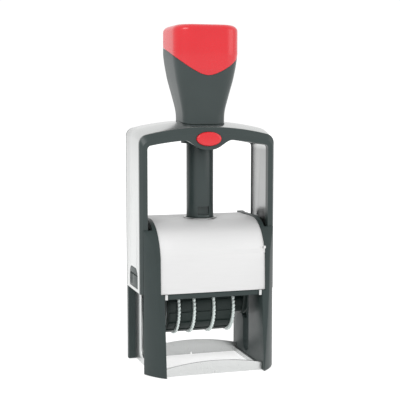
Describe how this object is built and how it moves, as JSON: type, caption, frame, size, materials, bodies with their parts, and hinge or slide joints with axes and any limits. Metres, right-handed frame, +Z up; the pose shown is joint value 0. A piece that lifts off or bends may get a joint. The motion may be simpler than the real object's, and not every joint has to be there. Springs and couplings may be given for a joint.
{
  "type": "self inking date stamp",
  "caption": "Press-action self-inking date stamp: sliding bow and handle over a slotted base, flip carrier with thumb wheels, ink pad cassette and lock button.",
  "frame": {"origin": "on the resting surface under the middle of the outer box", "axes": "+Z up along the press axis, +X to the right of the user, -Y towards the user"},
  "size_m": [0.061, 0.042, 0.1505],
  "materials": {
    "housing_plastic": "fine satin moulded plastic, dark slate",
    "grip_plastic": "smooth satin moulded plastic, dark slate",
    "carrier_plastic": "moulded plastic, near black green",
    "satin_steel": "satin steel sheet",
    "cover_steel": "pale satin steel sheet",
    "pin_steel": "turned steel",
    "spring_steel": "drawn spring wire",
    "cap_red": "glossy moulded plastic, red",
    "wheel_white": "moulded plastic, white",
    "band_rubber": "matte moulded rubber",
    "die_rubber": "laser-cut stamp rubber",
    "pad_felt": "ink-soaked felt"
  },
  "bodies": {
    "base": {"cheek_left": "housing_plastic", "cheek_right": "housing_plastic", "side_plate_left": "satin_steel", "side_plate_right": "satin_steel", "base_frame": "satin_steel", "front_beam": "housing_plastic", "front_cover": "cover_steel", "cover_clips": "satin_steel", "cover_ring": "satin_steel", "bridge": "housing_plastic", "bridge_screws": "pin_steel", "column": "grip_plastic", "column_screw": "pin_steel", "press_spring": "spring_steel"},
    "bow": {"bow_strap": "satin_steel", "front_bezel": "grip_plastic", "rear_trim": "grip_plastic", "bow_head": "housing_plastic", "neck_collar": "grip_plastic", "handle_grip": "grip_plastic", "handle_cap": "cap_red", "guide_rod": "pin_steel", "pivot_clip_left": "housing_plastic", "pivot_clip_right": "housing_plastic", "pivot_pin_left": "pin_steel", "pivot_pin_right": "pin_steel", "pivot_bush_left": "housing_plastic", "pivot_bush_right": "housing_plastic", "lock_spring": "spring_steel"},
    "lock": {"lock_button": "cap_red", "lock_bolt": "housing_plastic"},
    "pad": {"pad_cassette": "housing_plastic", "ink_pad": "pad_felt"},
    "carrier": {"carrier_frame": "carrier_plastic", "text_plate": "carrier_plastic", "text_die": "die_rubber", "date_bridge": "carrier_plastic", "date_band_1": "band_rubber", "date_band_2": "band_rubber", "date_band_3": "band_rubber", "date_band_4": "band_rubber", "wheel_arbor": "pin_steel", "arbor_spacer": "carrier_plastic", "cam_pin_left": "pin_steel", "cam_pin_right": "pin_steel"},
    "wheel_1": {"thumb_wheel_1": "wheel_white"},
    "wheel_2": {"thumb_wheel_2": "wheel_white"},
    "wheel_3": {"thumb_wheel_3": "wheel_white"},
    "wheel_4": {"thumb_wheel_4": "wheel_white"}
  },
  "joints": [
    {"name": "press", "type": "slide", "parent": "base", "child": "bow", "axis": [0, 0, -1], "range_m": [0, 0.032], "stiffness_N_per_m": 400, "springref_m": -0.01, "deforming": ["press_spring"]},
    {"name": "flip", "type": "hinge", "parent": "bow", "child": "carrier", "pos_m": [0, 0.0035, 0.04], "axis": [1, 0, 0], "range_deg": [0, 180]},
    {"name": "lock_push", "type": "slide", "parent": "bow", "child": "lock", "axis": [0, 1, 0], "range_m": [0, 0.0018], "stiffness_N_per_m": 800, "springref_m": -0.0005},
    {"name": "pad_slide", "type": "slide", "parent": "base", "child": "pad", "axis": [0, 1, 0], "range_m": [0, 0.042]},
    {"name": "wheel_1_turn", "type": "hinge", "parent": "carrier", "child": "wheel_1", "pos_m": [0, 0.0035, 0.0265], "axis": [1, 0, 0], "continuous": true},
    {"name": "wheel_2_turn", "type": "hinge", "parent": "carrier", "child": "wheel_2", "pos_m": [0, 0.0035, 0.0265], "axis": [1, 0, 0], "continuous": true},
    {"name": "wheel_3_turn", "type": "hinge", "parent": "carrier", "child": "wheel_3", "pos_m": [0, 0.0035, 0.0265], "axis": [1, 0, 0], "continuous": true},
    {"name": "wheel_4_turn", "type": "hinge", "parent": "carrier", "child": "wheel_4", "pos_m": [0, 0.0035, 0.0265], "axis": [1, 0, 0], "continuous": true}
  ],
  "couplings": [
    {"joint": "flip", "follows": "press", "rad_per_m": 98.17}
  ]
}
